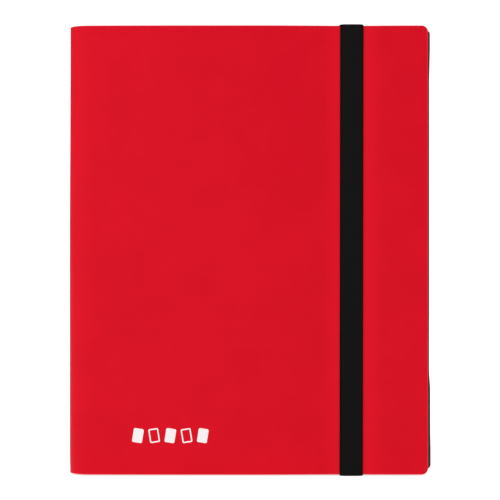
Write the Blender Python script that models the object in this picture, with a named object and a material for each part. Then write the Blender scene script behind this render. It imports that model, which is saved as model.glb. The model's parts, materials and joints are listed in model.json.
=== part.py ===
"""Trading card binder: a wrap-round cover, twenty black leaves with clear side-loading pockets, an elastic strap.

The closed binder stands upright. +X runs from the spine to the fore-edge, -Y is the front, +Z is up.
The origin is under the middle of the binder's box. Dimensions are in millimetres.
"""
import math

import bmesh
import bpy
from mathutils import Vector

MM = 0.001

# covers
COVER_WIDTH = 271.0
COVER_HEIGHT = 338.0
BOOK_THICKNESS = 27.6
COVER_WALL = 1.2
SPINE_DEPTH = 10.0
CORNER_RADIUS = 5.0
CREASE_GAP = 0.3

# leaves
LEAF_COUNT = 20
LEAF_PITCH = 1.15
LEAF_WALL = 0.3
LEAF_HEIGHT = 330.0
LEAF_OVERHANG = 1.8
LEAF_CORNER = 5.0
FIRST_LEAF_Y = -11.75
FILM_WALL = 0.12
FILM_GAP = 0.1
POCKET_WIDTH = 70.0
POCKET_HEIGHT = 97.0
POCKET_SEAM = 3.0
POCKETS_ACROSS = 3
POCKETS_DOWN = 3

# the strip inside the spine that every leaf is welded to
STRIP_BACK = -1.1
STRIP_FRONT = 2.5
STRIP_HALF_WIDTH = 12.1
HINGE_CLEARANCE = 0.5

# elastic strap
STRAP_WIDTH = 18.0
STRAP_WALL = 1.1
STRAP_FROM_EDGE = 57.5
STRAP_FACE_GAP = 0.25
STRAP_EDGE_GAP = 0.2
STRAP_BEND = 0.4
SLOT_FROM_EDGE = 12.0
SLOT_WIDTH = 20.0
SLOT_HEIGHT = 2.2
INNER_RUN_GAP = 0.3

ARC_STEPS = 6
SPINE_STEPS = 24
SMOOTH_ANGLE = math.radians(35.0)

# places that follow from the sizes above
LEFT = -(COVER_WIDTH + LEAF_OVERHANG) / 2
FORE_EDGE = LEFT + COVER_WIDTH
LEAF_EDGE = FORE_EDGE + LEAF_OVERHANG
CREASE_X = LEFT + SPINE_DEPTH
FACE_Y = BOOK_THICKNESS / 2
BOTTOM = STRAP_WALL + STRAP_EDGE_GAP
TOP = BOTTOM + COVER_HEIGHT
MIDDLE_Z = (BOTTOM + TOP) / 2
HINGE_X = CREASE_X + STRIP_FRONT + HINGE_CLEARANCE
STRAP_X = FORE_EDGE - STRAP_FROM_EDGE
SLOT_LOW = BOTTOM + SLOT_FROM_EDGE
SLOT_HIGH = TOP - SLOT_FROM_EDGE
FILM_REACH = LEAF_WALL / 2 + FILM_GAP + FILM_WALL
FIELD_WIDTH = POCKETS_ACROSS * (POCKET_WIDTH + POCKET_SEAM) + POCKET_SEAM
FIELD_HEIGHT = POCKETS_DOWN * (POCKET_HEIGHT + POCKET_SEAM) + POCKET_SEAM


def clear_scene():
    for item in list(bpy.data.objects):
        bpy.data.objects.remove(item)


def plastic(name, colour, roughness, alpha=1.0):
    material = bpy.data.materials.new(name)
    material.use_nodes = True
    shader = material.node_tree.nodes["Principled BSDF"]
    shader.inputs["Base Color"].default_value = (*colour, 1.0)
    shader.inputs["Roughness"].default_value = roughness
    shader.inputs["Metallic"].default_value = 0.0
    shader.inputs["Alpha"].default_value = alpha
    return material


def arc(centre, radius, start, end, steps=ARC_STEPS):
    """Points on an arc from angle start to angle end, in degrees."""
    points = []
    for step in range(steps + 1):
        angle = math.radians(start + (end - start) * step / steps)
        points.append((centre[0] + radius * math.cos(angle), centre[1] + radius * math.sin(angle)))
    return points


def panel_outline(x_low, x_high, z_low, z_high, radius):
    """A rectangle in X and Z whose two corners at the fore-edge are round."""
    outline = [(x_low, z_high), (x_low, z_low)]
    outline += arc((x_high - radius, z_low + radius), radius, -90, 0)
    outline += arc((x_high - radius, z_high - radius), radius, 0, 90)
    return outline


def finish(name, mesh_builder, origin, material):
    """Turn a bmesh in millimetres into an object whose origin is the given point."""
    bmesh.ops.recalc_face_normals(mesh_builder, faces=mesh_builder.faces)
    for vertex in mesh_builder.verts:
        vertex.co = (vertex.co - Vector(origin)) * MM
    mesh = bpy.data.meshes.new(name)
    mesh_builder.to_mesh(mesh)
    mesh_builder.free()
    mesh.materials.append(material)
    mesh.shade_smooth()
    mesh.set_sharp_from_angle(angle=SMOOTH_ANGLE)
    return place(name, mesh, origin)


def place(name, mesh, origin):
    piece = bpy.data.objects.new(name, mesh)
    piece.location = Vector(origin) * MM
    bpy.context.collection.objects.link(piece)
    return piece


def plate(name, loops, y_low, y_high, origin, material):
    """A flat sheet: the first loop is its outline in X and Z, any other loop is a hole."""
    builder = bmesh.new()
    edges = []
    for loop in loops:
        ring = [builder.verts.new((x, y_low, z)) for x, z in loop]
        edges += [builder.edges.new((ring[i - 1], ring[i])) for i in range(len(ring))]
    bmesh.ops.triangle_fill(builder, edges=edges, use_beauty=True)
    extruded = bmesh.ops.extrude_face_region(builder, geom=builder.faces[:])["geom"]
    moved = [item for item in extruded if isinstance(item, bmesh.types.BMVert)]
    bmesh.ops.translate(builder, verts=moved, vec=(0.0, y_high - y_low, 0.0))
    return finish(name, builder, origin, material)


def ribbon(name, left_side, right_side, low, high, to_point, origin, material):
    """A bent sheet: two matching lines of points give its section, swept from low to high."""
    builder = bmesh.new()
    rows = []
    for left, right in zip(left_side, right_side, strict=True):
        corners = (*left, low), (*left, high), (*right, high), (*right, low)
        rows.append([builder.verts.new(to_point(*corner)) for corner in corners])
    for row, following in zip(rows, rows[1:]):
        for i in range(4):
            builder.faces.new((row[i - 1], row[i], following[i], following[i - 1]))
    builder.faces.new(rows[0])
    builder.faces.new(rows[-1])
    return finish(name, builder, origin, material)


def upright(x, y, z):
    """A section in X and Y, swept along Z."""
    return x, y, z


def across(y, z, x):
    """A section in Y and Z, swept along X."""
    return x, y, z


def make_front_cover(material):
    outline = panel_outline(CREASE_X + CREASE_GAP / 2, FORE_EDGE, BOTTOM, TOP, CORNER_RADIUS)
    origin = (CREASE_X, -FACE_Y, BOTTOM)
    return plate("front_cover", [outline], -FACE_Y, COVER_WALL - FACE_Y, origin, material)


def make_back_cover(material):
    outline = panel_outline(CREASE_X + CREASE_GAP / 2, FORE_EDGE, BOTTOM, TOP, CORNER_RADIUS)
    loops = [outline]
    for height in (SLOT_LOW, SLOT_HIGH):
        low, high = height - SLOT_HEIGHT / 2, height + SLOT_HEIGHT / 2
        left, right = STRAP_X - SLOT_WIDTH / 2, STRAP_X + SLOT_WIDTH / 2
        loops.append([(left, low), (right, low), (right, high), (left, high)])
    origin = (CREASE_X, FACE_Y, BOTTOM)
    return plate("back_cover", loops, FACE_Y - COVER_WALL, FACE_Y, origin, material)


def half_ellipse(centre_x, depth, half_width):
    points = []
    for step in range(SPINE_STEPS + 1):
        angle = math.pi * (step / SPINE_STEPS - 0.5)
        points.append((centre_x - depth * math.cos(angle), half_width * math.sin(angle)))
    return points


def make_spine(material):
    start = CREASE_X - CREASE_GAP / 2
    depth = start - LEFT
    outer = half_ellipse(start, depth, FACE_Y)
    inner = half_ellipse(start, depth - COVER_WALL, FACE_Y - COVER_WALL)
    origin = (CREASE_X, FACE_Y, BOTTOM)
    return ribbon("spine_panel", outer, inner, BOTTOM, TOP, upright, origin, material)


def make_binding_strip(material):
    low = MIDDLE_Z - LEAF_HEIGHT / 2
    high = MIDDLE_Z + LEAF_HEIGHT / 2
    x_low, x_high = CREASE_X + STRIP_BACK, CREASE_X + STRIP_FRONT
    outline = [(x_low, low), (x_high, low), (x_high, high), (x_low, high)]
    origin = (CREASE_X, FACE_Y, BOTTOM)
    return plate("binding_strip", [outline], -STRIP_HALF_WIDTH, STRIP_HALF_WIDTH, origin, material)


def leaf_origin(number):
    return HINGE_X, FIRST_LEAF_Y + LEAF_PITCH * (number - 1), MIDDLE_Z


def make_pages(material):
    """Every leaf's black backing sheet, with its origin on the line where it bends at the strip."""
    x, y, z = leaf_origin(1)
    edge = LEAF_EDGE - FILM_WALL - FILM_GAP
    outline = panel_outline(x, edge, z - LEAF_HEIGHT / 2, z + LEAF_HEIGHT / 2, LEAF_CORNER)
    first = plate("page_01", [outline], y - LEAF_WALL / 2, y + LEAF_WALL / 2, (x, y, z), material)
    for number in range(2, LEAF_COUNT + 1):
        place(f"page_{number:02d}", first.data, leaf_origin(number))


def fold_line(x_start, x_edge, y, reach):
    """A U-shaped line round a leaf's fore-edge, reach away from the leaf's middle plane."""
    line = [(x_start, y - reach)]
    line += arc((x_edge - reach, y), reach, -90, 90)
    line.append((x_start, y + reach))
    return line


def make_pocket_films(material):
    """Every leaf's clear film: three by three pockets on both faces, folded round the fore-edge."""
    x, y, z = leaf_origin(1)
    start = LEAF_EDGE - FIELD_WIDTH
    outer = fold_line(start, LEAF_EDGE, y, FILM_REACH)
    inner = fold_line(start, LEAF_EDGE - FILM_WALL, y, FILM_REACH - FILM_WALL)
    low, high = z - FIELD_HEIGHT / 2, z + FIELD_HEIGHT / 2
    first = ribbon("pocket_film_01", outer, inner, low, high, upright, (x, y, z), material)
    for number in range(2, LEAF_COUNT + 1):
        place(f"pocket_film_{number:02d}", first.data, leaf_origin(number))


def strap_loop(offset):
    """The strap's line, offset outward from its inner face, in Y and Z from slot to slot."""
    y = FACE_Y + STRAP_FACE_GAP
    z_low, z_high = BOTTOM - STRAP_EDGE_GAP, TOP + STRAP_EDGE_GAP
    radius = STRAP_BEND + offset
    bend = STRAP_BEND
    line = [(y + offset, SLOT_HIGH - STRAP_WALL / 2)]
    line += arc((y - bend, z_high - bend), radius, 0, 90)
    line += arc((bend - y, z_high - bend), radius, 90, 180)
    line += arc((bend - y, z_low + bend), radius, 180, 270)
    line += arc((y - bend, z_low + bend), radius, 270, 360)
    line.append((y + offset, SLOT_LOW + STRAP_WALL / 2))
    return line


def make_strap(material):
    """The loop that goes round the front: it swings round the fore-edge when it is let go."""
    low, high = STRAP_X - STRAP_WIDTH / 2, STRAP_X + STRAP_WIDTH / 2
    origin = (STRAP_X, FACE_Y, MIDDLE_Z)
    sides = strap_loop(0.0), strap_loop(STRAP_WALL)
    return ribbon("elastic_strap", *sides, low, high, across, origin, material)


def inner_run(offset):
    """The strap's line inside the back cover, from one slot's outer face to the other's."""
    y = FACE_Y - COVER_WALL - INNER_RUN_GAP - STRAP_WALL
    half = STRAP_WALL / 2
    radius = STRAP_BEND + STRAP_WALL - offset
    z_high = SLOT_HIGH + half - STRAP_BEND - STRAP_WALL
    z_low = SLOT_LOW - half + STRAP_BEND + STRAP_WALL
    centre_y = y + STRAP_BEND + STRAP_WALL
    line = [(FACE_Y, z_high + radius)]
    line += arc((centre_y, z_high), radius, 90, 180)
    line += arc((centre_y, z_low), radius, 180, 270)
    line.append((FACE_Y, z_low - radius))
    return line


def make_inner_strap(material):
    """The same elastic's fixed part, which lies on the back cover's inner face."""
    low, high = STRAP_X - STRAP_WIDTH / 2, STRAP_X + STRAP_WIDTH / 2
    origin = (STRAP_X, FACE_Y, MIDDLE_Z)
    sides = inner_run(0.0), inner_run(STRAP_WALL)
    return ribbon("strap_inner_run", *sides, low, high, across, origin, material)


def build():
    clear_scene()
    red = (0.68, 0.0075, 0.02)
    black = (0.008, 0.008, 0.009)
    make_front_cover(plastic("front cover red", red, 0.42))
    make_back_cover(plastic("back cover red", red, 0.42))
    make_spine(plastic("spine red", red, 0.42))
    make_binding_strip(plastic("binding strip black", black, 0.55))
    make_pages(plastic("leaf black", black, 0.5))
    make_pocket_films(plastic("clear film", (0.9, 0.92, 0.93), 0.08, alpha=0.25))
    make_strap(plastic("strap black elastic", black, 0.85))
    make_inner_strap(plastic("inner strap black elastic", black, 0.85))


build()
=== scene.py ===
import json
import math
import random

import bmesh
import bpy
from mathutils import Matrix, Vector


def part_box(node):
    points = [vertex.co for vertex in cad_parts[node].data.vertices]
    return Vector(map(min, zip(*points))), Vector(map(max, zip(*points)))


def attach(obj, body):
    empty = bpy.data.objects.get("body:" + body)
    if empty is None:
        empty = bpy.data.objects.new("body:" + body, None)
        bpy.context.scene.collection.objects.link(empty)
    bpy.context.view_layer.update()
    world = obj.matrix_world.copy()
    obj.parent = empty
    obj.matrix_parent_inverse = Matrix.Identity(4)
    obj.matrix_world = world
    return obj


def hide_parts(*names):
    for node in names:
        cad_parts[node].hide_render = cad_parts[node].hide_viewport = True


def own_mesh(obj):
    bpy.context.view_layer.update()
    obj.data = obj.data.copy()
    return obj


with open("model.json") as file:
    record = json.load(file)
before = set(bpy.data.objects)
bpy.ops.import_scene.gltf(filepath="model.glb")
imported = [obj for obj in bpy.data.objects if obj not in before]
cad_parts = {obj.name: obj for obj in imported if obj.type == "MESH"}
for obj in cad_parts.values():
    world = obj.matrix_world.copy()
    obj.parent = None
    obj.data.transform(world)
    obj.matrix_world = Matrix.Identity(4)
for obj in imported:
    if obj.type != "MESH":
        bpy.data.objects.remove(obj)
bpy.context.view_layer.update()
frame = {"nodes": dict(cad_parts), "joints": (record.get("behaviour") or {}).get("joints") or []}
mm = 0.001
fullTurn = 2 * math.pi

# places taken from the frame
coverLow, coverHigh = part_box("front_cover")
stripLow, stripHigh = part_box("binding_strip")
strapLow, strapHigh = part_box("elastic_strap")
innerLow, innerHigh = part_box("strap_inner_run")
joints = {joint["name"]: joint for joint in frame["joints"]}
creaseX = joints["spine_fold"]["pos_m"][0]
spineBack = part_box("spine_panel")[0].x
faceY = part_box("back_cover")[1].y
wall = coverHigh.y - coverLow.y
foreEdge = coverHigh.x
bottom = coverLow.z
top = coverHigh.z
middleZ = (bottom + top) / 2
strapX = (strapLow.x + strapHigh.x) / 2
strapHalf = (strapHigh.x - strapLow.x) / 2
pageNames = sorted(name for name in frame["nodes"] if name.startswith("page_"))
filmNames = sorted(name for name in frame["nodes"] if name.startswith("pocket_film_"))
print("frame loaded:", len(frame["nodes"]), "nodes")


class Wire:
    # a socket that can stand in ordinary sums; each sum adds its Math node
    def __init__(self, tree, socket=None, maker=None):
        self.tree = tree
        self.socket = socket
        self.maker = maker

    def node(self, kind, settings=None, sockets=None):
        made = self.tree.nodes.new(kind)
        for name, value in (settings or {}).items():
            setattr(made, name, value)
        for name, value in (sockets or {}).items():
            if isinstance(value, Wire):
                self.tree.links.new(value.socket, made.inputs[name])
            else:
                made.inputs[name].default_value = value
        first = made.outputs[0] if len(made.outputs) else None
        return Wire(self.tree, first, made)

    def take(self, output):
        return Wire(self.tree, self.maker.outputs[output], self.maker)

    def maths(self, operation, *values):
        return self.node("ShaderNodeMath", {"operation": operation}, dict(enumerate(values)))

    def __add__(self, other):
        return self.maths("ADD", self, other)

    def __radd__(self, other):
        return self.maths("ADD", other, self)

    def __sub__(self, other):
        return self.maths("SUBTRACT", self, other)

    def __rsub__(self, other):
        return self.maths("SUBTRACT", other, self)

    def __mul__(self, other):
        return self.maths("MULTIPLY", self, other)

    def __rmul__(self, other):
        return self.maths("MULTIPLY", other, self)

    def __abs__(self):
        return self.maths("ABSOLUTE", self)

    def sine(self):
        return self.maths("SINE", self)

    def wrap(self, length):
        return self.maths("FLOORED_MODULO", self, length)

    def larger(self, other):
        return self.maths("MAXIMUM", self, other)

    def smaller(self, other):
        return self.maths("MINIMUM", self, other)

    def ease(self, low, high):
        sockets = {"Value": self, "From Min": low, "From Max": high}
        return self.node("ShaderNodeMapRange", {"interpolation_type": "SMOOTHSTEP"}, sockets)


def startMaterial(name, constants):
    material = bpy.data.materials.new(name)
    material.use_nodes = True
    tree = material.node_tree
    shader = tree.nodes["Principled BSDF"]
    for socket, value in constants.items():
        shader.inputs[socket].default_value = value
    place = Wire(tree).node("ShaderNodeTexCoord").take("Object")
    return material, shader, place


def feed(shader, socket, wire):
    wire.tree.links.new(wire.socket, shader.inputs[socket])


def axes(place):
    parts = place.node("ShaderNodeSeparateXYZ", None, {"Vector": place})
    return parts.take("X"), parts.take("Y"), parts.take("Z")


def noise(place, size, detail=2.0, rough=0.5):
    # noise whose features are about size metres across
    sockets = {"Vector": place, "Scale": 1 / size, "Detail": detail, "Roughness": rough}
    return place.node("ShaderNodeTexNoise", {"noise_dimensions": "3D"}, sockets)


def blendColours(mask, dark, light):
    # a colour may be three numbers or a wire; 0, 6 and 7 are the colour mix's factor, A and B
    ends = [end if isinstance(end, Wire) else (*end, 1) for end in (dark, light)]
    sockets = {0: mask, 6: ends[0], 7: ends[1]}
    return mask.node("ShaderNodeMix", {"data_type": "RGBA"}, sockets).take(2)


def bumped(height, depth, strength):
    sockets = {"Height": height, "Distance": depth, "Strength": strength}
    return height.node("ShaderNodeBump", None, sockets)


def clamp(value):
    return min(max(value, 0.0), 1.0)


def rise(value, start, end):
    share = clamp((value - start) / (end - start))
    return share * share * (3 - 2 * share)


def spread(start, end, steps):
    return [start + (end - start) * i / steps for i in range(steps + 1)]


def arcPoints(centreY, centreZ, radius, start, end, steps=8):
    angles = [math.radians(start + (end - start) * i / steps) for i in range(steps + 1)]
    return [(centreY + radius * math.cos(a), centreZ + radius * math.sin(a)) for a in angles]


def closedSheet(name, outer, inner, isHole=None, staysSquare=None):
    # a sheet with thickness between two grids of points; rims are rounded except where staysSquare
    rows = len(outer)
    columns = len(outer[0])
    size = rows * columns
    points = [point for grid in (outer, inner) for row in grid for point in row]
    cells = [(r, c) for r in range(rows - 1) for c in range(columns - 1)]
    kept = {cell for cell in cells if not (isHole and isHole(*cell))}
    faces = []
    rims = set()
    for r, c in sorted(kept):
        ids = [r * columns + c, r * columns + c + 1, (r + 1) * columns + c + 1, (r + 1) * columns + c]
        faces.append(ids)
        faces.append([size + i for i in reversed(ids)])
        for side, neighbour in enumerate([(r - 1, c), (r, c + 1), (r + 1, c), (r, c - 1)]):
            if neighbour not in kept:
                a, b = ids[side], ids[(side + 1) % 4]
                faces.append([b, a, size + a, size + b])
                if not (staysSquare and staysSquare(points[a]) and staysSquare(points[b])):
                    rims |= {frozenset((a, b)), frozenset((size + a, size + b))}
    mesh = bpy.data.meshes.new(name)
    mesh.from_pydata(points, [], faces)
    weights = mesh.attributes.new("bevel_weight_edge", "FLOAT", "EDGE")
    for edge in mesh.edges:
        weights.data[edge.index].value = 1.0 if frozenset(edge.vertices) in rims else 0.0
    tidyMesh(mesh)
    return addPiece(name, mesh)


def tidyMesh(mesh):
    builder = bmesh.new()
    builder.from_mesh(mesh)
    loose = [vertex for vertex in builder.verts if not vertex.link_faces]
    bmesh.ops.delete(builder, geom=loose, context="VERTS")
    bmesh.ops.recalc_face_normals(builder, faces=builder.faces)
    builder.to_mesh(mesh)
    builder.free()


def addPiece(name, mesh):
    piece = bpy.data.objects.new(name, mesh)
    bpy.context.scene.collection.objects.link(piece)
    return piece


def dress(piece, material, edge=0.0, angle=40.0, steps=2):
    # rounds the marked rims, shades the sheet smooth and gives it its finish
    piece.data.materials.clear()
    piece.data.materials.append(material)
    if edge:
        bevel = piece.modifiers.new("rounded rim", "BEVEL")
        bevel.limit_method = "WEIGHT"
        bevel.width = edge
        bevel.segments = steps
        bevel.use_clamp_overlap = True
    piece.data.shade_smooth()
    piece.data.set_sharp_from_angle(angle=math.radians(angle))
    return piece


cover = {
    "corner": 5.0 * mm,  # round corners at the fore-edge
    "trim": 0.25 * mm,  # both sheets are cut this much shorter
    "rim": 0.3 * mm,  # rounding of the cut edges
    "foldColumns": (0, 1, 2, 3, 4.5, 6.2, 8.2, 10.6),  # millimetres past the crease
    "evenFrom": 13.5 * mm,  # from here on the columns are evenly spaced
    "columns": 66,
    "rows": 44,
    "shoulder": 0.8 * mm,  # how far the sheet stands out just past the spine
    "shoulderRun": 2.8 * mm,  # and the length over which it gets there
    "swell": 1.6 * mm,  # the further swell between the spine and the strap
    "swellRun": 42 * mm,
    "pressRun": 70 * mm,  # the strap draws the swell in over this length
    "foreSwell": 1.6 * mm,  # and between the strap and the fore-edge
    "foreRun": 32 * mm,
    "midSwell": 0.15,  # extra share halfway up
    "backFlat": (15 * mm, 130 * mm),  # the back's shoulder dies away between these
}
slot = {
    "halfWidth": strapHalf + 0.7 * mm,
    "halfHeight": 0.9 * mm,
    "inset": 0.55 * mm,  # from the ends of the inner run to the slots' middles
}
slotLow = innerLow.z + slot["inset"]
slotHigh = innerHigh.z - slot["inset"]


def heightShare(z):
    return 1 + cover["midSwell"] * math.sin(math.pi * clamp((z - bottom) / (top - bottom)))


def shoulder(x):
    # the spine's curve runs on into both covers
    return cover["shoulder"] * (1 - math.exp((creaseX - x) / cover["shoulderRun"]))


def frontSwell(x, z):
    # the strap presses the sheet flat along its line, and the sheet swells on both sides of it
    left = strapX - strapHalf
    right = strapX + strapHalf
    slow = cover["swell"] * (1 - math.exp((creaseX - x) / cover["swellRun"]))
    pressed = clamp((x - left) / cover["pressRun"] + 1) ** 2
    free = 1 - clamp((x - right) / cover["foreRun"])
    out = (shoulder(x) + slow * heightShare(z)) * (1 - pressed)
    return out + cover["foreSwell"] * (1 - free * free) * heightShare(z)


def backSwell(x, z):
    return shoulder(x) * (1 - rise(x - creaseX, *cover["backFlat"]))


def coverColumns(edge, extra=()):
    radius = cover["corner"]
    columns = [creaseX + reach * mm for reach in cover["foldColumns"]]
    columns += spread(creaseX + cover["evenFrom"], edge - radius, cover["columns"])
    columns += [strapX - strapHalf, strapX + strapHalf, *extra]
    columns += [edge - radius + radius * math.sin(math.radians(a)) for a in range(10, 91, 10)]
    return sorted(columns)


def cornerDrop(x, edge, radius):
    # how far a round corner cuts into the sheet's height at x
    reach = max(x - (edge - radius), 0.0)
    return radius - math.sqrt(max(radius * radius - reach * reach, 0.0))


def coverGrid(columns, rowShares, y, side, swell):
    grid = []
    for share in rowShares:
        row = []
        for x in columns:
            drop = cornerDrop(x, columns[-1], cover["corner"])
            z = bottom + drop + (top - bottom - 2 * drop) * share
            row.append((x, y + side * swell(x, z), z))
        grid.append(row)
    return grid


def onCrease(point):
    return abs(point[0] - creaseX) < 1e-6


def makeFrontCover(material):
    columns = coverColumns(foreEdge - cover["trim"])
    shares = spread(0.0, 1.0, cover["rows"])
    outer = coverGrid(columns, shares, -faceY, -1, frontSwell)
    inner = coverGrid(columns, shares, wall - faceY, -1, frontSwell)
    piece = closedSheet("frontCoverSheet", outer, inner, staysSquare=onCrease)
    dress(piece, material, cover["rim"])
    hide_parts("front_cover")
    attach(piece, "front")


def makeBackCover(material):
    sides = [strapX - slot["halfWidth"], strapX + slot["halfWidth"]]
    ends = [z + s * slot["halfHeight"] for z in (slotLow, slotHigh) for s in (-1, 1)]
    columns = coverColumns(foreEdge - cover["trim"], sides)
    shares = sorted(spread(0.0, 1.0, cover["rows"]) + [(z - bottom) / (top - bottom) for z in ends])
    outer = coverGrid(columns, shares, faceY, 1, backSwell)
    inner = coverGrid(columns, shares, faceY - wall, 1, backSwell)

    def isSlot(r, c):
        x = (columns[c] + columns[c + 1]) / 2
        z = bottom + (top - bottom) * (shares[r] + shares[r + 1]) / 2
        inWidth = abs(x - strapX) < slot["halfWidth"]
        return inWidth and min(abs(z - slotLow), abs(z - slotHigh)) < slot["halfHeight"]

    piece = closedSheet("backCoverSheet", outer, inner, isSlot, onCrease)
    dress(piece, material, cover["rim"])
    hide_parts("back_cover")
    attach(piece, "back")


spine = {
    "steps": 40,
    "rows": 44,
    "centre": 4.0 * mm,  # the ellipse's middle lies this far past the crease
    "proud": 0.5 * mm,  # the back of the spine bows out below its top
    "bowsOut": (-0.02, 0.05),  # between these shares of the height
    "drawsIn": (0.5, 0.95),  # and draws in again between these
    "drawnIn": 1.6,  # by this many times as much
    "flat": 0.12,  # share of its depth that stays when the binder lies open
}


def spineGrid(depth, halfWidth):
    # the part of an ellipse that lies behind the crease
    centre = creaseX + spine["centre"]
    share = spine["centre"] / (depth + spine["centre"])
    reachY = halfWidth / math.sqrt(1 - share * share)
    last = math.acos(share)
    grid = []
    for z in spread(bottom, top, spine["rows"]):
        lift = (z - bottom) / (top - bottom)
        bow = rise(lift, *spine["bowsOut"]) - spine["drawnIn"] * rise(lift, *spine["drawsIn"])
        reachX = depth + spine["centre"] + spine["proud"] * bow
        row = []
        for angle in spread(-last, last, spine["steps"]):
            back = reachX * (math.cos(angle) - share)
            row.append((creaseX - back, reachY * math.sin(angle), z))
        grid.append(row)
    return grid


def makeSpine(material):
    depth = creaseX - spineBack
    outer = spineGrid(depth, faceY)
    inner = spineGrid(depth - wall, faceY - wall)
    piece = closedSheet("spineSheet", outer, inner, staysSquare=onCrease)
    dress(piece, material, cover["rim"])
    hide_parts("spine_panel")
    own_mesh(piece)
    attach(piece, "spine")


red = {
    "base": (0.70, 0.0052, 0.0183),
    "deep": (0.675, 0.0048, 0.0173),
    "roughness": 0.46,
    "specular": 0.04,
    "grain": 0.45 * mm,  # the fine matt texture rolled into the sheet
    "grainDepth": 0.16 * mm,
    "grainStrength": 0.8,
    "grainRough": 0.06,
    "cloud": 30 * mm,  # slow differences in shade
    "cloudSpan": (0.35, 0.65),
    "cloudRough": 0.08,
    "polished": (0.755, 0.0064, 0.0205),  # painted highlight: paler bands beside the strap
    "polishRun": 15 * mm,
    "frontOnly": 4 * mm,  # the painted highlight fades out this far from the binder's middle
    "cut": (0.80, 0.035, 0.05),  # a paler band along the top, bottom and fore-edge
    "cutWidth": 0.75 * mm,
    "cutFull": 0.7,  # share of that width that is fully pale
}


def coverRed():
    material, shader, place = startMaterial("coverRed", {"Specular IOR Level": red["specular"]})
    cloud = noise(place, red["cloud"], 3.0)
    grain = noise(place, red["grain"], 3.0, 0.6)
    x, y, z = axes(place)
    sheet = blendColours(cloud.ease(*red["cloudSpan"]), red["deep"], red["base"])
    # painted highlight: the front sheet is paler in bands on both sides of the strap
    fromStrap = abs(x - strapX) - strapHalf
    atFront = 1 - y.ease(-red["frontOnly"], red["frontOnly"])
    strapHighlightMask = (1 - fromStrap.ease(0, red["polishRun"])) * atFront
    sheet = blendColours(strapHighlightMask, sheet, red["polished"])
    # the sheet is paler in a narrow band along its top, bottom and fore-edge
    toEnd = (top - bottom) / 2 - abs(z - middleZ)
    toEdge = toEnd.smaller(foreEdge - cover["trim"] - x)
    cut = 1 - toEdge.ease(red["cutWidth"] * red["cutFull"], red["cutWidth"])
    feed(shader, "Base Color", blendColours(cut, sheet, red["cut"]))
    uneven = red["cloudRough"] * (cloud - 0.5) + red["grainRough"] * (grain - 0.5)
    feed(shader, "Roughness", red["roughness"] + uneven)
    feed(shader, "Normal", bumped(grain, red["grainDepth"], red["grainStrength"]))
    return material


leaf = {
    "corner": 3.6 * mm,  # the round corner at its foot
    "topCorner": 2.0 * mm,
    "trim": 0.4 * mm,
    "rim": 0.1 * mm,
    "columns": 26,
    "rows": 28,
    # how far the fore-edge draws in, and the shares of the height where it changes
    "recess": 0.8 * mm,
    "recessStarts": (0.19, 0.23),
    "recessEnds": (0.90, 0.93),
    "topRecess": 0.25 * mm,
    "topStarts": (0.90, 0.94),
    "toe": 0.3 * mm,  # the foot of the fore-edge stands out again
    "toeEnds": (0.06, 0.10),
    "drawRun": 40 * mm,  # the sheet's last stretch takes up the difference
    "uneven": 0.2 * mm,  # the fore-edge differs a little from leaf to leaf
    "rooted": 60 * mm,  # the waves grow over this length from the strip
    "ripple": 0.06 * mm,
    "rippleWaves": 1.05,
    "shortWaves": 2.65,
    "shortShare": 0.6,
    "sway": 0.7 * mm,  # all the leaves lie in the same slow waves
    "waves": 2.3,
    "phase": 2.36,
    "upShare": 0.25,  # the same sway up the leaf
    "upWaves": 1.2,
    "even": 0.8,  # share of the sway that the outer leaves have
    "follow": 0.8,  # how much of the front cover's swell the first leaf shares
}


def leafRecess(z):
    share = (z - bottom) / (top - bottom)
    middle = rise(share, *leaf["recessStarts"]) * (1 - rise(share, *leaf["recessEnds"]))
    atTop = leaf["topRecess"] * rise(share, *leaf["topStarts"])
    atFoot = leaf["toe"] * (1 - rise(share, *leaf["toeEnds"]))
    return leaf["recess"] * middle + atTop - atFoot


class Leaf:
    # one leaf's place and the slight wave that it has taken on
    def __init__(self, number, pageName, chance):
        low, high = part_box(pageName)
        self.number = number
        self.start = low.x
        self.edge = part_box(filmNames[number])[1].x - leaf["trim"]
        self.middle = (low.y + high.y) / 2
        self.half = (high.y - low.y) / 2
        self.low = low.z
        self.high = high.z
        self.depth = 1 - number / (len(pageNames) - 1)
        self.shift = chance.uniform(-1, 1) * leaf["uneven"]
        self.phases = [chance.uniform(0, fullTurn) for _ in range(3)]

    def wave(self, x, z):
        across = (x - self.start) / (self.edge - self.start)
        lift = (z - self.low) / (self.high - self.low)
        swell = leaf["follow"] * self.depth * frontSwell(min(x, foreEdge), z)
        ripple = math.sin(fullTurn * leaf["rippleWaves"] * lift + self.phases[0])
        short = math.sin(fullTurn * leaf["shortWaves"] * lift + self.phases[1])
        ripple += leaf["shortShare"] * short
        sway = math.sin(fullTurn * leaf["waves"] * across + leaf["phase"])
        sway += leaf["upShare"] * math.sin(fullTurn * leaf["upWaves"] * lift)
        sway *= leaf["even"] + (1 - leaf["even"]) * math.sin(math.pi * self.depth)
        rooted = rise(x, self.start, self.start + leaf["rooted"])
        return rooted * (leaf["ripple"] * ripple + leaf["sway"] * sway - swell)

    def draw(self, x, z):
        # the point's x once the fore-edge is drawn in
        drawn = rise(x, self.edge - leaf["drawRun"], self.edge)
        return x - (leafRecess(z) + self.shift) * drawn


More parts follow.
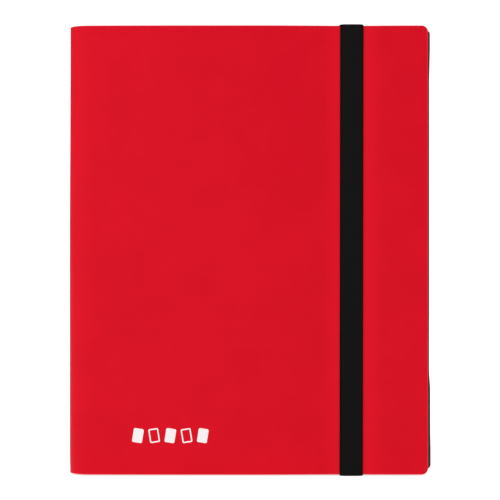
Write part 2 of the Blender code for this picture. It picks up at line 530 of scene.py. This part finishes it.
def makePage(material, one):
    name = pageNames[one.number]
    radius = leaf["corner"]
    small = leaf["topCorner"]
    columns = spread(one.start, one.edge - radius, leaf["columns"])
    columns += spread(one.edge - radius, one.edge - small, 3)[1:-1]
    columns += [one.edge - small + small * math.sin(math.radians(a)) for a in (0, 22, 45, 67, 90)]
    grids = []
    for side in (-1, 1):
        grid = []
        for share in spread(0.0, 1.0, leaf["rows"]):
            row = []
            for x in columns:
                low = one.low + cornerDrop(x, one.edge, radius)
                high = one.high - cornerDrop(x, one.edge, small)
                z = low + (high - low) * share
                y = one.middle + side * one.half + one.wave(x, z)
                row.append((one.draw(x, z), y, z))
            grid.append(row)
        grids.append(grid)
    piece = closedSheet("leafSheet" + name[-2:], *grids)
    dress(piece, material, leaf["rim"], steps=1)
    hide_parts(name)
    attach(piece, "leaf_" + name[-2:])


pocket = {
    "width": 70.0 * mm,
    "height": 97.0 * mm,
    "seam": 3.0 * mm,
    "edgeWeld": 1.2 * mm,  # the film's welded width by the fore-edge
    "innerWeld": 2.4 * mm,  # and between two pockets
    "across": 3,
    "down": 3,
    "film": 0.1 * mm,
    "lift": 0.03 * mm,  # welded film above the black sheet
    "loose": 0.15 * mm,  # the pocket's film stands off this much more
    "shoulder": 4.0 * mm,
    "margin": 0.6 * mm,  # the film ends this far inside its first and last seam
    "mouthPoints": (0.0, 0.8 * mm, 5 * mm, 22 * mm, 48 * mm),  # columns, from the mouth on
    "midPoint": 48 * mm,  # the row about halfway up
}
pitchX = pocket["width"] + pocket["seam"]
pitchZ = pocket["height"] + pocket["seam"]
seamsLow = middleZ - (pocket["down"] * pitchZ + pocket["seam"]) / 2
seamsHigh = seamsLow + pocket["down"] * pitchZ + pocket["seam"]


def pocketLoft(u, v):
    # the film's height over the black sheet, u from the pocket's mouth, v up from its lower seam
    shoulder = pocket["shoulder"]
    ends = rise(v, 0, shoulder) * rise(pocket["height"] - v, 0, shoulder)
    closed = rise(pocket["width"] - u, 0, shoulder)
    return pocket["lift"] + pocket["loose"] * ends * closed


def pocketStrip(one, side, column):
    # one column of three pockets, open towards the spine
    width = pocket["width"]
    height = pocket["height"]
    shoulder = pocket["shoulder"]
    mouth = one.edge - (pocket["across"] - column) * pitchX
    last = pocket["edgeWeld"] if column == pocket["across"] - 1 else pocket["innerWeld"]
    us = [*pocket["mouthPoints"], width - shoulder, width - shoulder / 2, width, width + last]
    vs = [0.0, shoulder / 2, shoulder, pocket["midPoint"]]
    vs += [height - shoulder, height - shoulder / 2, height]
    heights = [(seamsLow + pocket["margin"], 0.0)]
    for pocketRow in range(pocket["down"]):
        foot = seamsLow + pocket["seam"] + pocketRow * pitchZ
        heights += [(foot + v, v) for v in vs]
    heights.append((seamsHigh - pocket["margin"], 0.0))
    outer = []
    inner = []
    for z, v in heights:
        rowOut = []
        rowIn = []
        for u in us:
            x = mouth + u
            loft = pocketLoft(min(u, width), v)
            y = one.middle + side * one.half + one.wave(x, z)
            rowIn.append((one.draw(x, z), y + side * loft, z))
            rowOut.append((one.draw(x, z), y + side * (loft + pocket["film"]), z))
        outer.append(rowOut)
        inner.append(rowIn)
    return outer, inner


def joinPieces(name, pieces):
    builder = bmesh.new()
    for piece in pieces:
        builder.from_mesh(piece.data)
        bpy.data.objects.remove(piece)
    mesh = bpy.data.meshes.new(name)
    builder.to_mesh(mesh)
    builder.free()
    return addPiece(name, mesh)


def makeFilm(material, one):
    name = filmNames[one.number]
    strips = []
    for side in (-1, 1):
        for column in range(pocket["across"]):
            strips.append(closedSheet("strip", *pocketStrip(one, side, column)))
    piece = joinPieces("pocketFilm" + name[-2:], strips)
    dress(piece, material)
    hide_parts(name)
    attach(piece, "leaf_" + name[-2:])


black = {
    "base": (0.0105, 0.0105, 0.0115),
    "deep": (0.0070, 0.0070, 0.0078),
    "roughness": 0.42,
    "specular": 0.45,
    "cloud": 18 * mm,
    "cloudRough": 0.1,
    "grain": 0.35 * mm,
    "grainDepth": 0.04 * mm,
    "grainStrength": 0.3,
}


def leafBlack():
    material, shader, place = startMaterial("leafBlack", {"Specular IOR Level": black["specular"]})
    cloud = noise(place, black["cloud"])
    grain = noise(place, black["grain"])
    feed(shader, "Base Color", blendColours(cloud, black["deep"], black["base"]))
    feed(shader, "Roughness", black["roughness"] + black["cloudRough"] * (cloud - 0.5))
    feed(shader, "Normal", bumped(grain, black["grainDepth"], black["grainStrength"]))
    return material


film = {
    "tint": (0.10, 0.105, 0.11),
    "seamTint": (0.17, 0.175, 0.18),
    "clear": 0.30,  # how much of the film shows where it lies loose
    "welded": 0.38,  # and along its seams
    "roughness": 0.07,
    "seamRough": 0.2,
    "smudgeRough": 0.05,
    "gloss": 1.0,
    "seamSoft": 0.1,  # a seam's border fades over this share of its width to each side
    "ridge": 0.9 * mm,  # fine slanting ridges pressed into the seams
    "smudge": 14 * mm,
    "smudgeHeight": 0.6,
    "depth": 0.05 * mm,
    "strength": 0.5,
}


def clearFilm(edgeX):
    material, shader, place = startMaterial("clearFilm", {"Specular IOR Level": film["gloss"]})
    x, _, z = axes(place)
    fades = [pocket["seam"] * share for share in (1 - film["seamSoft"], 1 + film["seamSoft"])]
    seamX = 1 - (edgeX - x).wrap(pitchX).ease(*fades)
    seamZ = 1 - (z - seamsLow).wrap(pitchZ).ease(*fades)
    seam = seamX.larger(seamZ)
    ridges = ((x + z) * (fullTurn / film["ridge"])).sine() * seam
    smudge = noise(place, film["smudge"], 3.0)
    feed(shader, "Base Color", blendColours(seam, film["tint"], film["seamTint"]))
    feed(shader, "Alpha", film["clear"] + (film["welded"] - film["clear"]) * seam)
    rough = film["roughness"] + film["seamRough"] * seam + film["smudgeRough"] * smudge
    feed(shader, "Roughness", rough)
    height = ridges + film["smudgeHeight"] * smudge
    feed(shader, "Normal", bumped(height, film["depth"], film["strength"]))
    return material


strip = {
    "bead": 0.32 * mm,  # half width of the welded bead at each leaf's root
    "back": 0.15 * mm,  # its back lies this far past the crease
    "flange": 0.9 * mm,  # thickness of the edges that are welded to the covers' folds
    "slope": 0.3 * mm,  # width of the slope between a flange and the face
    "apart": 0.05 * mm,  # clearance between a flange and the spine's sheet
    "over": 0.1 * mm,  # the beads reach this far over the leaves' roots
    "beadSteps": 6,
    "rows": 24,
    # its finish
    "dark": (0.008, 0.008, 0.009),
    "light": (0.015, 0.015, 0.016),
    "specular": 0.4,
    "roughness": 0.5,
    "streak": 9 * mm,
    "grain": 0.6 * mm,
    "grainRough": 0.15,
    "grainDepth": 0.06 * mm,
    "grainStrength": 0.4,
}


def makeBindingStrip(material, leaves):
    # a flat strip whose face carries one rounded bead for each leaf
    back = creaseX + strip["back"]
    flange = back + strip["flange"]
    edge = faceY - wall - strip["apart"]
    slope = strip["slope"]
    profile = [(-edge, flange), (stripLow.y, flange), (stripLow.y + slope, stripHigh.x)]
    reach = leaves[0].start - stripHigh.x + strip["over"]
    for one in leaves:
        for angle in spread(math.pi, 0.0, strip["beadSteps"]):
            y = one.middle + strip["bead"] * math.cos(angle)
            profile.append((y, stripHigh.x + reach * math.sin(angle)))
    profile += [(stripHigh.y - slope, stripHigh.x), (stripHigh.y, flange), (edge, flange)]
    outer = []
    inner = []
    for z in spread(stripLow.z, stripHigh.z, strip["rows"]):
        outer.append([(x, y, z) for y, x in profile])
        inner.append([(back, y, z) for y, x in profile])
    piece = closedSheet("bindingStrip", outer, inner)
    dress(piece, material, angle=50)
    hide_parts("binding_strip")
    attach(piece, "spine")


def bindingBlack():
    material, shader, place = startMaterial("bindingBlack", {"Specular IOR Level": strip["specular"]})
    grain = noise(place, strip["grain"], 3.0)
    streak = noise(place, strip["streak"])
    feed(shader, "Base Color", blendColours(streak, strip["dark"], strip["light"]))
    feed(shader, "Roughness", strip["roughness"] + strip["grainRough"] * (grain - 0.5))
    feed(shader, "Normal", bumped(grain, strip["grainDepth"], strip["grainStrength"]))
    return material


strap = {
    "thick": 1.1 * mm,
    "edgeThick": 0.75 * mm,  # the woven edges are thinner than the middle
    "lay": 0.06 * mm,  # clearance over the cover's face
    "overEdge": 0.12 * mm,  # and over its top and bottom edges
    "bend": 0.5 * mm,
    "rim": 0.25 * mm,
    "crown": 6,  # the higher, the flatter the middle
    "across": 14,
    "slotSteps": 6,  # points along the ends, the wraps and the front run
    "wrapSteps": 14,
    "runSteps": 70,
    "slim": 0.25 * mm,  # the stretched band is narrower by this on each side
    "aside": 0.15 * mm,  # and lies this far towards the spine
    "lean": 0.45 * mm,  # its front run leans towards the spine at its foot
    "twist": 1.1 * mm,  # the top wrap swings towards the spine
    "twistDeep": 0.3,  # share of the binder's depth over which the swing grows
    "flat": 0.03,  # share of its reach that stays once it is let go
    "rest": 0.3 * mm,  # how far it then keeps off the cover
}


def turn(centreY, centreZ, start, end, radius=strap["bend"], steps=8, facing=0.0):
    # a round corner of the route; facing is added to the outward direction
    points = arcPoints(centreY, centreZ, radius, start, end, steps)
    return [(y, z, a + facing) for (y, z), a in zip(points, spread(start, end, steps))]


def strapRoute():
    # y, z and the outward direction, from the upper slot over the front to the lower slot
    y = faceY + strap["lay"]
    zHigh = top + strap["overEdge"]
    zLow = bottom - strap["overEdge"]
    bend = strap["bend"]
    stations = [(y, z, 0.0) for z in spread(slotHigh, zHigh - bend, strap["slotSteps"])]
    stations += turn(y - bend, zHigh - bend, 0, 90)
    stations += [(s, zHigh, 90.0) for s in spread(y - bend, bend - y, strap["wrapSteps"])[1:-1]]
    stations += turn(bend - y, zHigh - bend, 90, 180)
    front = spread(zHigh - bend, zLow + bend, strap["runSteps"])
    stations += [(-y, z, 180.0) for z in front[1:-1]]
    stations += turn(bend - y, zLow + bend, 180, 270)
    stations += [(s, zLow, 270.0) for s in spread(bend - y, y - bend, strap["wrapSteps"])[1:-1]]
    stations += turn(y - bend, zLow + bend, 270, 360)
    stations += [(y, z, 360.0) for z in spread(zLow + bend, slotLow, strap["slotSteps"])]
    return stations


def strapShift(y, z):
    # the strap isn't laid quite straight
    share = (z - bottom) / (top - bottom)
    back = (y + faceY) / (2 * faceY)
    lean = strap["lean"] * (1 - share) * (1 - back)
    swing = strap["twist"] * rise(back, 0, strap["twistDeep"]) * rise(share, 0.5, 1)
    return -strap["aside"] - lean - swing


def bandGrids(stations, halfWidth, shift):
    outer = []
    inner = []
    for y, z, angle in stations:
        rowOut = []
        rowIn = []
        direction = (math.cos(math.radians(angle)), math.sin(math.radians(angle)))
        for u in spread(-1.0, 1.0, strap["across"]):
            x = strapX + u * halfWidth + shift(y, z)
            crown = 1 - abs(u) ** strap["crown"]
            thick = strap["edgeThick"] + (strap["thick"] - strap["edgeThick"]) * crown
            rowIn.append((x, y, z))
            rowOut.append((x, y + direction[0] * thick, z + direction[1] * thick))
        outer.append(rowOut)
        inner.append(rowIn)
    return outer, inner


def makeStrap(material):
    grids = bandGrids(strapRoute(), strapHalf - strap["slim"], strapShift)
    piece = closedSheet("elasticStrap", *grids)
    dress(piece, material, strap["rim"], angle=60)
    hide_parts("elastic_strap")
    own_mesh(piece)
    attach(piece, "strap")


innerRun = {
    "gap": 0.15 * mm,  # between the band and the cover's inside
    "slim": 0.1 * mm,  # it is narrower by this on each side
    "rim": 0.2 * mm,
    "endSteps": 3,  # points through the slots, round the bends and along the run
    "bendSteps": 6,
    "runSteps": 40,
}


def makeInnerRun(material):
    # the fixed part inside the back cover, which comes out through both slots
    bend = strap["bend"] + strap["thick"]
    y = faceY - wall - innerRun["gap"] - strap["thick"]
    centreY = y + bend
    outside = faceY + strap["lay"]
    zHigh = slotHigh + strap["thick"] / 2
    zLow = slotLow - strap["thick"] / 2
    steps = innerRun["bendSteps"]
    stations = [(s, zHigh, -90.0) for s in spread(outside, centreY, innerRun["endSteps"])]
    stations += turn(centreY, zHigh - bend, 90, 180, bend, steps, -180)[1:]
    straight = spread(zHigh - bend, zLow + bend, innerRun["runSteps"])
    stations += [(y, z, 0.0) for z in straight[1:-1]]
    stations += turn(centreY, zLow + bend, 180, 270, bend, steps, -180)
    stations += [(s, zLow, 90.0) for s in spread(centreY, outside, innerRun["endSteps"])[1:]]
    grids = bandGrids(stations, strapHalf - innerRun["slim"], lambda y, z: 0.0)
    piece = closedSheet("strapInnerRun", *grids)
    dress(piece, material, innerRun["rim"], angle=60)
    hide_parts("strap_inner_run")
    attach(piece, "back")


weave = {
    "base": (0.0082, 0.0084, 0.0081),
    "deep": (0.0040, 0.0041, 0.0040),
    "edge": (0.0036, 0.0036, 0.0036),  # the woven edges are denser and darker
    "edgeWidth": 1.3 * mm,
    "edgeSoft": 0.2,  # they fade over this share of that width to each side
    "rib": 1.05 * mm,  # ribs along the strap
    "ribHeight": 0.55,
    "pick": 0.62 * mm,  # threads across it
    "pickHeight": 0.45,
    "pickBend": 1.6,  # the ribs push the threads aside
    "fuzz": 0.3 * mm,
    "fuzzHeight": 0.5,
    "fuzzRough": 0.1,
    "shades": (-0.3, 1.1),  # painted shade: heights at which the yarn is darkest and lightest
    "depth": 0.22 * mm,
    "strength": 0.9,
    "roughness": 0.86,
    "specular": 0.08,
}


def strapWeave():
    material, shader, place = startMaterial("strapWeave", {"Specular IOR Level": weave["specular"]})
    x, y, z = axes(place)
    along = (z + y) * (fullTurn / weave["pick"])
    ribs = (x * (fullTurn / weave["rib"])).sine()
    picks = (along + weave["pickBend"] * ribs).sine()
    fuzz = noise(place, weave["fuzz"])
    height = weave["ribHeight"] * abs(ribs) + weave["pickHeight"] * picks + weave["fuzzHeight"] * fuzz
    # painted shade in the weave's hollows: the yarn is darker where the bump height is low
    shadedYarn = blendColours(height.ease(*weave["shades"]), weave["deep"], weave["base"])
    inset = strapHalf - abs(x - (strapX - strap["lean"] / 2))
    fades = [weave["edgeWidth"] * share for share in (1 - weave["edgeSoft"], 1 + weave["edgeSoft"])]
    selvedge = 1 - inset.ease(*fades)
    feed(shader, "Base Color", blendColours(selvedge, shadedYarn, weave["edge"]))
    feed(shader, "Roughness", weave["roughness"] + weave["fuzzRough"] * (fuzz - 0.5))
    feed(shader, "Normal", bumped(height, weave["depth"], weave["strength"]))
    return material


mark = {
    "cards": 5,
    "cardWidth": 7.6 * mm,
    "cardHeight": 10.6 * mm,
    "round": 1.2 * mm,
    "line": 1.0 * mm,
    "pitch": 12.2 * mm,
    "left": -84.0 * mm,  # the first card's middle
    "middle": 29.5 * mm,  # height above the cover's foot
    "tilt": 9.0,
    "ink": 0.02 * mm,  # the print stands out this far
    "inkThick": 0.03 * mm,
    "least": 0.2 * mm,  # smallest rounding of the inner outlines
    # its finish
    "dark": (0.90, 0.90, 0.90),
    "light": (0.97, 0.97, 0.97),
    "specular": 0.3,
    "roughness": 0.45,
    "speckle": 0.5 * mm,
    "speckleRough": 0.1,
    "speckleDepth": 0.02 * mm,
    "speckleStrength": 0.2,
}


def cardOutline(inset):
    halfWidth = mark["cardWidth"] / 2 - inset
    halfHeight = mark["cardHeight"] / 2 - inset
    radius = max(mark["round"] - inset, mark["least"])
    points = []
    for signX, signZ, start in ((1, 1, 0), (-1, 1, 90), (-1, -1, 180), (1, -1, 270)):
        centre = signX * (halfWidth - radius), signZ * (halfHeight - radius)
        points += arcPoints(*centre, radius, start, start + 90, 5)
    return points


def makeMark(material):
    # five small card outlines in a row, alternately solid and open
    builder = bmesh.new()
    for number in range(mark["cards"]):
        tilt = math.radians(mark["tilt"] if number % 2 else -mark["tilt"])
        centre = Vector((mark["left"] + number * mark["pitch"], bottom + mark["middle"]))
        rings = [cardOutline(0.0), cardOutline(mark["line"]), cardOutline(mark["line"] * 2)]
        if number % 2:
            rings = rings[:2]
        loops = []
        for ring in rings:
            loop = []
            for u, v in ring:
                x = centre.x + u * math.cos(tilt) - v * math.sin(tilt)
                z = centre.y + u * math.sin(tilt) + v * math.cos(tilt)
                y = -faceY - frontSwell(x, z) - mark["ink"]
                loop.append(builder.verts.new((x, y, z)))
            loops.append(loop)
        count = len(loops[0])
        for first, second in zip(loops, loops[1:]):
            for i in range(count):
                builder.faces.new((first[i - 1], first[i], second[i], second[i - 1]))
        if len(loops) == 3:
            builder.faces.new(loops[-1])
    bmesh.ops.recalc_face_normals(builder, faces=builder.faces)
    back = bmesh.ops.extrude_face_region(builder, geom=builder.faces[:])["geom"]
    moved = [item for item in back if isinstance(item, bmesh.types.BMVert)]
    bmesh.ops.translate(builder, verts=moved, vec=(0, mark["inkThick"], 0))
    bmesh.ops.recalc_face_normals(builder, faces=builder.faces)
    mesh = bpy.data.meshes.new("coverMark")
    builder.to_mesh(mesh)
    builder.free()
    piece = addPiece("coverMark", mesh)
    dress(piece, material)
    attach(piece, "front")


def inkWhite():
    material, shader, place = startMaterial("inkWhite", {"Specular IOR Level": mark["specular"]})
    speckle = noise(place, mark["speckle"])
    feed(shader, "Base Color", blendColours(speckle, mark["dark"], mark["light"]))
    feed(shader, "Roughness", mark["roughness"] + mark["speckleRough"] * speckle)
    feed(shader, "Normal", bumped(speckle, mark["speckleDepth"], mark["speckleStrength"]))
    return material


studio = {
    "floor": 6.0,
    "floorNear": 0.8,  # the floor's own glow by the object
    "floorFar": 1.1,  # and away from it, where it runs into the backdrop
    "farRun": (0.5, 1.6),  # metres over which the one turns into the other
    "paper": 4 * mm,
    "paperDark": (0.90, 0.90, 0.90),
    "paperLight": (0.94, 0.94, 0.94),
    "shade": 0.06,  # what is left of the glow under the object
    "shadeFront": (-9 * mm, -1 * mm),  # the shade sets in between these places
    "shadeSide": 12 * mm,  # and fades over this length on the fore-edge's inner side
    "distance": 1.3,  # from the front cover to the lens
    "field": 0.3766,  # width seen at the front cover
    "sensor": 36.0,
    "aim": (0.0003, 0.17036),
    "seen": 1.2,  # the backdrop as the lens sees it
    "ambient": 0.23,  # the light it gives to the object
    "mirrored": 0.2,  # and how bright it stands in reflections
}
lamps = [
    # name, place, width and watts
    ("keyPanel", (-1.0, -1.38, 0.68), 0.9, 7.9),
    ("spinePanel", (-1.7, -0.5, 0.65), 0.7, 3.1),
    ("fillPanel", (1.5, -1.25, 0.9), 0.9, 1.75),
    ("topPanel", (0.1, -0.1, 1.6), 1.0, 2.4),
    ("backPanel", (0.8, 1.4, 1.0), 1.0, 8.0),
]


def makeFloor():
    half = studio["floor"] / 2
    corners = [(-half, -half, 0), (half, -half, 0), (half, half, 0), (-half, half, 0)]
    mesh = bpy.data.meshes.new("studioFloor")
    mesh.from_pydata(corners, [], [(0, 1, 2, 3)])
    floor = addPiece("studioFloor", mesh)
    constants = {
        "Specular IOR Level": 0.0,
        "Roughness": 0.9,
        "Emission Strength": 1.0,
    }
    material, shader, place = startMaterial("floorWhite", constants)
    paper = noise(place, studio["paper"])
    feed(shader, "Base Color", blendColours(paper, studio["paperDark"], studio["paperLight"]))
    x, y, _ = axes(place)
    apart = x * x + y * y
    far = apart.maths("SQRT", apart).ease(*studio["farRun"])
    glow = blendColours(far, *[(studio[end],) * 3 for end in ("floorNear", "floorFar")])
    under = y.ease(*studio["shadeFront"]) * (1 - y.ease(faceY - wall, faceY + wall))
    under = under * (1 - abs(x).ease(foreEdge - studio["shadeSide"], foreEdge))
    feed(shader, "Emission Color", blendColours(under, glow, (studio["shade"],) * 3))
    mesh.materials.append(material)


def makeWorld():
    world = bpy.data.worlds.new("studioAir")
    bpy.context.scene.world = world
    world.use_nodes = True
    world.node_tree.nodes.clear()
    start = Wire(world.node_tree)
    path = start.node("ShaderNodeLightPath")

    def glow(strength):
        return start.node("ShaderNodeBackground", None, {"Color": (1, 1, 1, 1), "Strength": strength})

    lit = start.node("ShaderNodeMixShader", None, {
        0: path.take("Is Glossy Ray"),
        1: glow(studio["ambient"]),
        2: glow(studio["mirrored"]),
    })
    whole = start.node("ShaderNodeMixShader", None, {
        0: path.take("Is Camera Ray"),
        1: lit,
        2: glow(studio["seen"]),
    })
    start.node("ShaderNodeOutputWorld", None, {"Surface": whole})


def makeLamps():
    target = Vector((0, 0, middleZ))
    for name, spot, size, power in lamps:
        data = bpy.data.lights.new(name, "AREA")
        data.size = size
        data.energy = power
        lamp = bpy.data.objects.new(name, data)
        lamp.location = spot
        lamp.rotation_euler = (target - Vector(spot)).to_track_quat("-Z", "Y").to_euler()
        bpy.context.scene.collection.objects.link(lamp)


def makeCamera():
    data = bpy.data.cameras.new("studioCamera")
    data.sensor_width = studio["sensor"]
    data.lens = studio["sensor"] * studio["distance"] / studio["field"]
    camera = bpy.data.objects.new("studioCamera", data)
    camera.location = (studio["aim"][0], -faceY - studio["distance"], studio["aim"][1])
    camera.rotation_euler = (math.pi / 2, 0, 0)
    bpy.context.scene.collection.objects.link(camera)
    bpy.context.scene.camera = camera


bpy.context.scene.view_settings.view_transform = "Standard"
makeFloor()
makeWorld()
makeLamps()
makeCamera()
print("studio ready")

redFinish = coverRed()
makeFrontCover(redFinish)
makeBackCover(redFinish)
makeSpine(redFinish)
print("covers made")

chance = random.Random(7)
leaves = [Leaf(number, name, chance) for number, name in enumerate(pageNames)]
blackFinish = leafBlack()
filmFinish = clearFilm(leaves[0].edge)
for one in leaves:
    makePage(blackFinish, one)
    makeFilm(filmFinish, one)
makeBindingStrip(bindingBlack(), leaves)
print("leaves made:", len(leaves))

weaveFinish = strapWeave()
makeStrap(weaveFinish)
makeInnerRun(weaveFinish)
makeMark(inkWhite())
print("strap and mark made")
